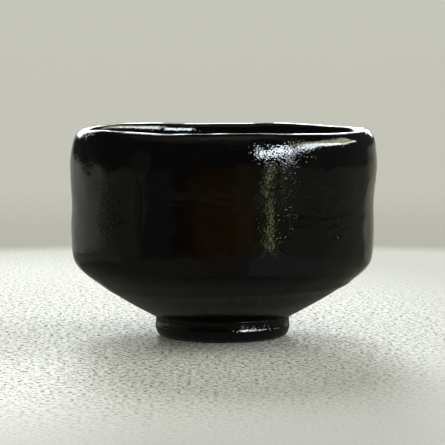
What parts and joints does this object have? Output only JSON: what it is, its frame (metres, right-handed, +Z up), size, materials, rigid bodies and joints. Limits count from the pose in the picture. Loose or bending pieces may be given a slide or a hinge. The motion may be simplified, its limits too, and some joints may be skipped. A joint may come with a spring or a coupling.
{
  "type": "matcha bowl",
  "caption": "Hand-formed black-glazed tea bowl with an upright wall, rounded shoulder, sloping belly and a low foot ring, for whisking and drinking matcha.",
  "frame": {"origin": "centre of the foot's standing ring, on the plane that the bowl rests on", "axes": "+Z up, out of the mouth; the front faces -Y; +X is to the right of the front"},
  "size_m": [0.1163, 0.1164, 0.0796],
  "materials": {
    "fired_clay": "bare fired clay, matt and slightly sandy",
    "fired_slip": "fine fired slip, matt",
    "outer_black_glaze": "thick black glaze, glossy and finely pitted, thinning to dark brown",
    "inner_black_glaze": "thick black glaze, glossy and smoother than outside"
  },
  "bodies": {
    "root": {"clay_body": "fired_clay", "foot_ring": "fired_clay", "luting_slip": "fired_slip", "outer_glaze": "outer_black_glaze", "inner_glaze": "inner_black_glaze", "foot_glaze": "outer_black_glaze", "recess_glaze": "inner_black_glaze"}
  },
  "joints": []
}
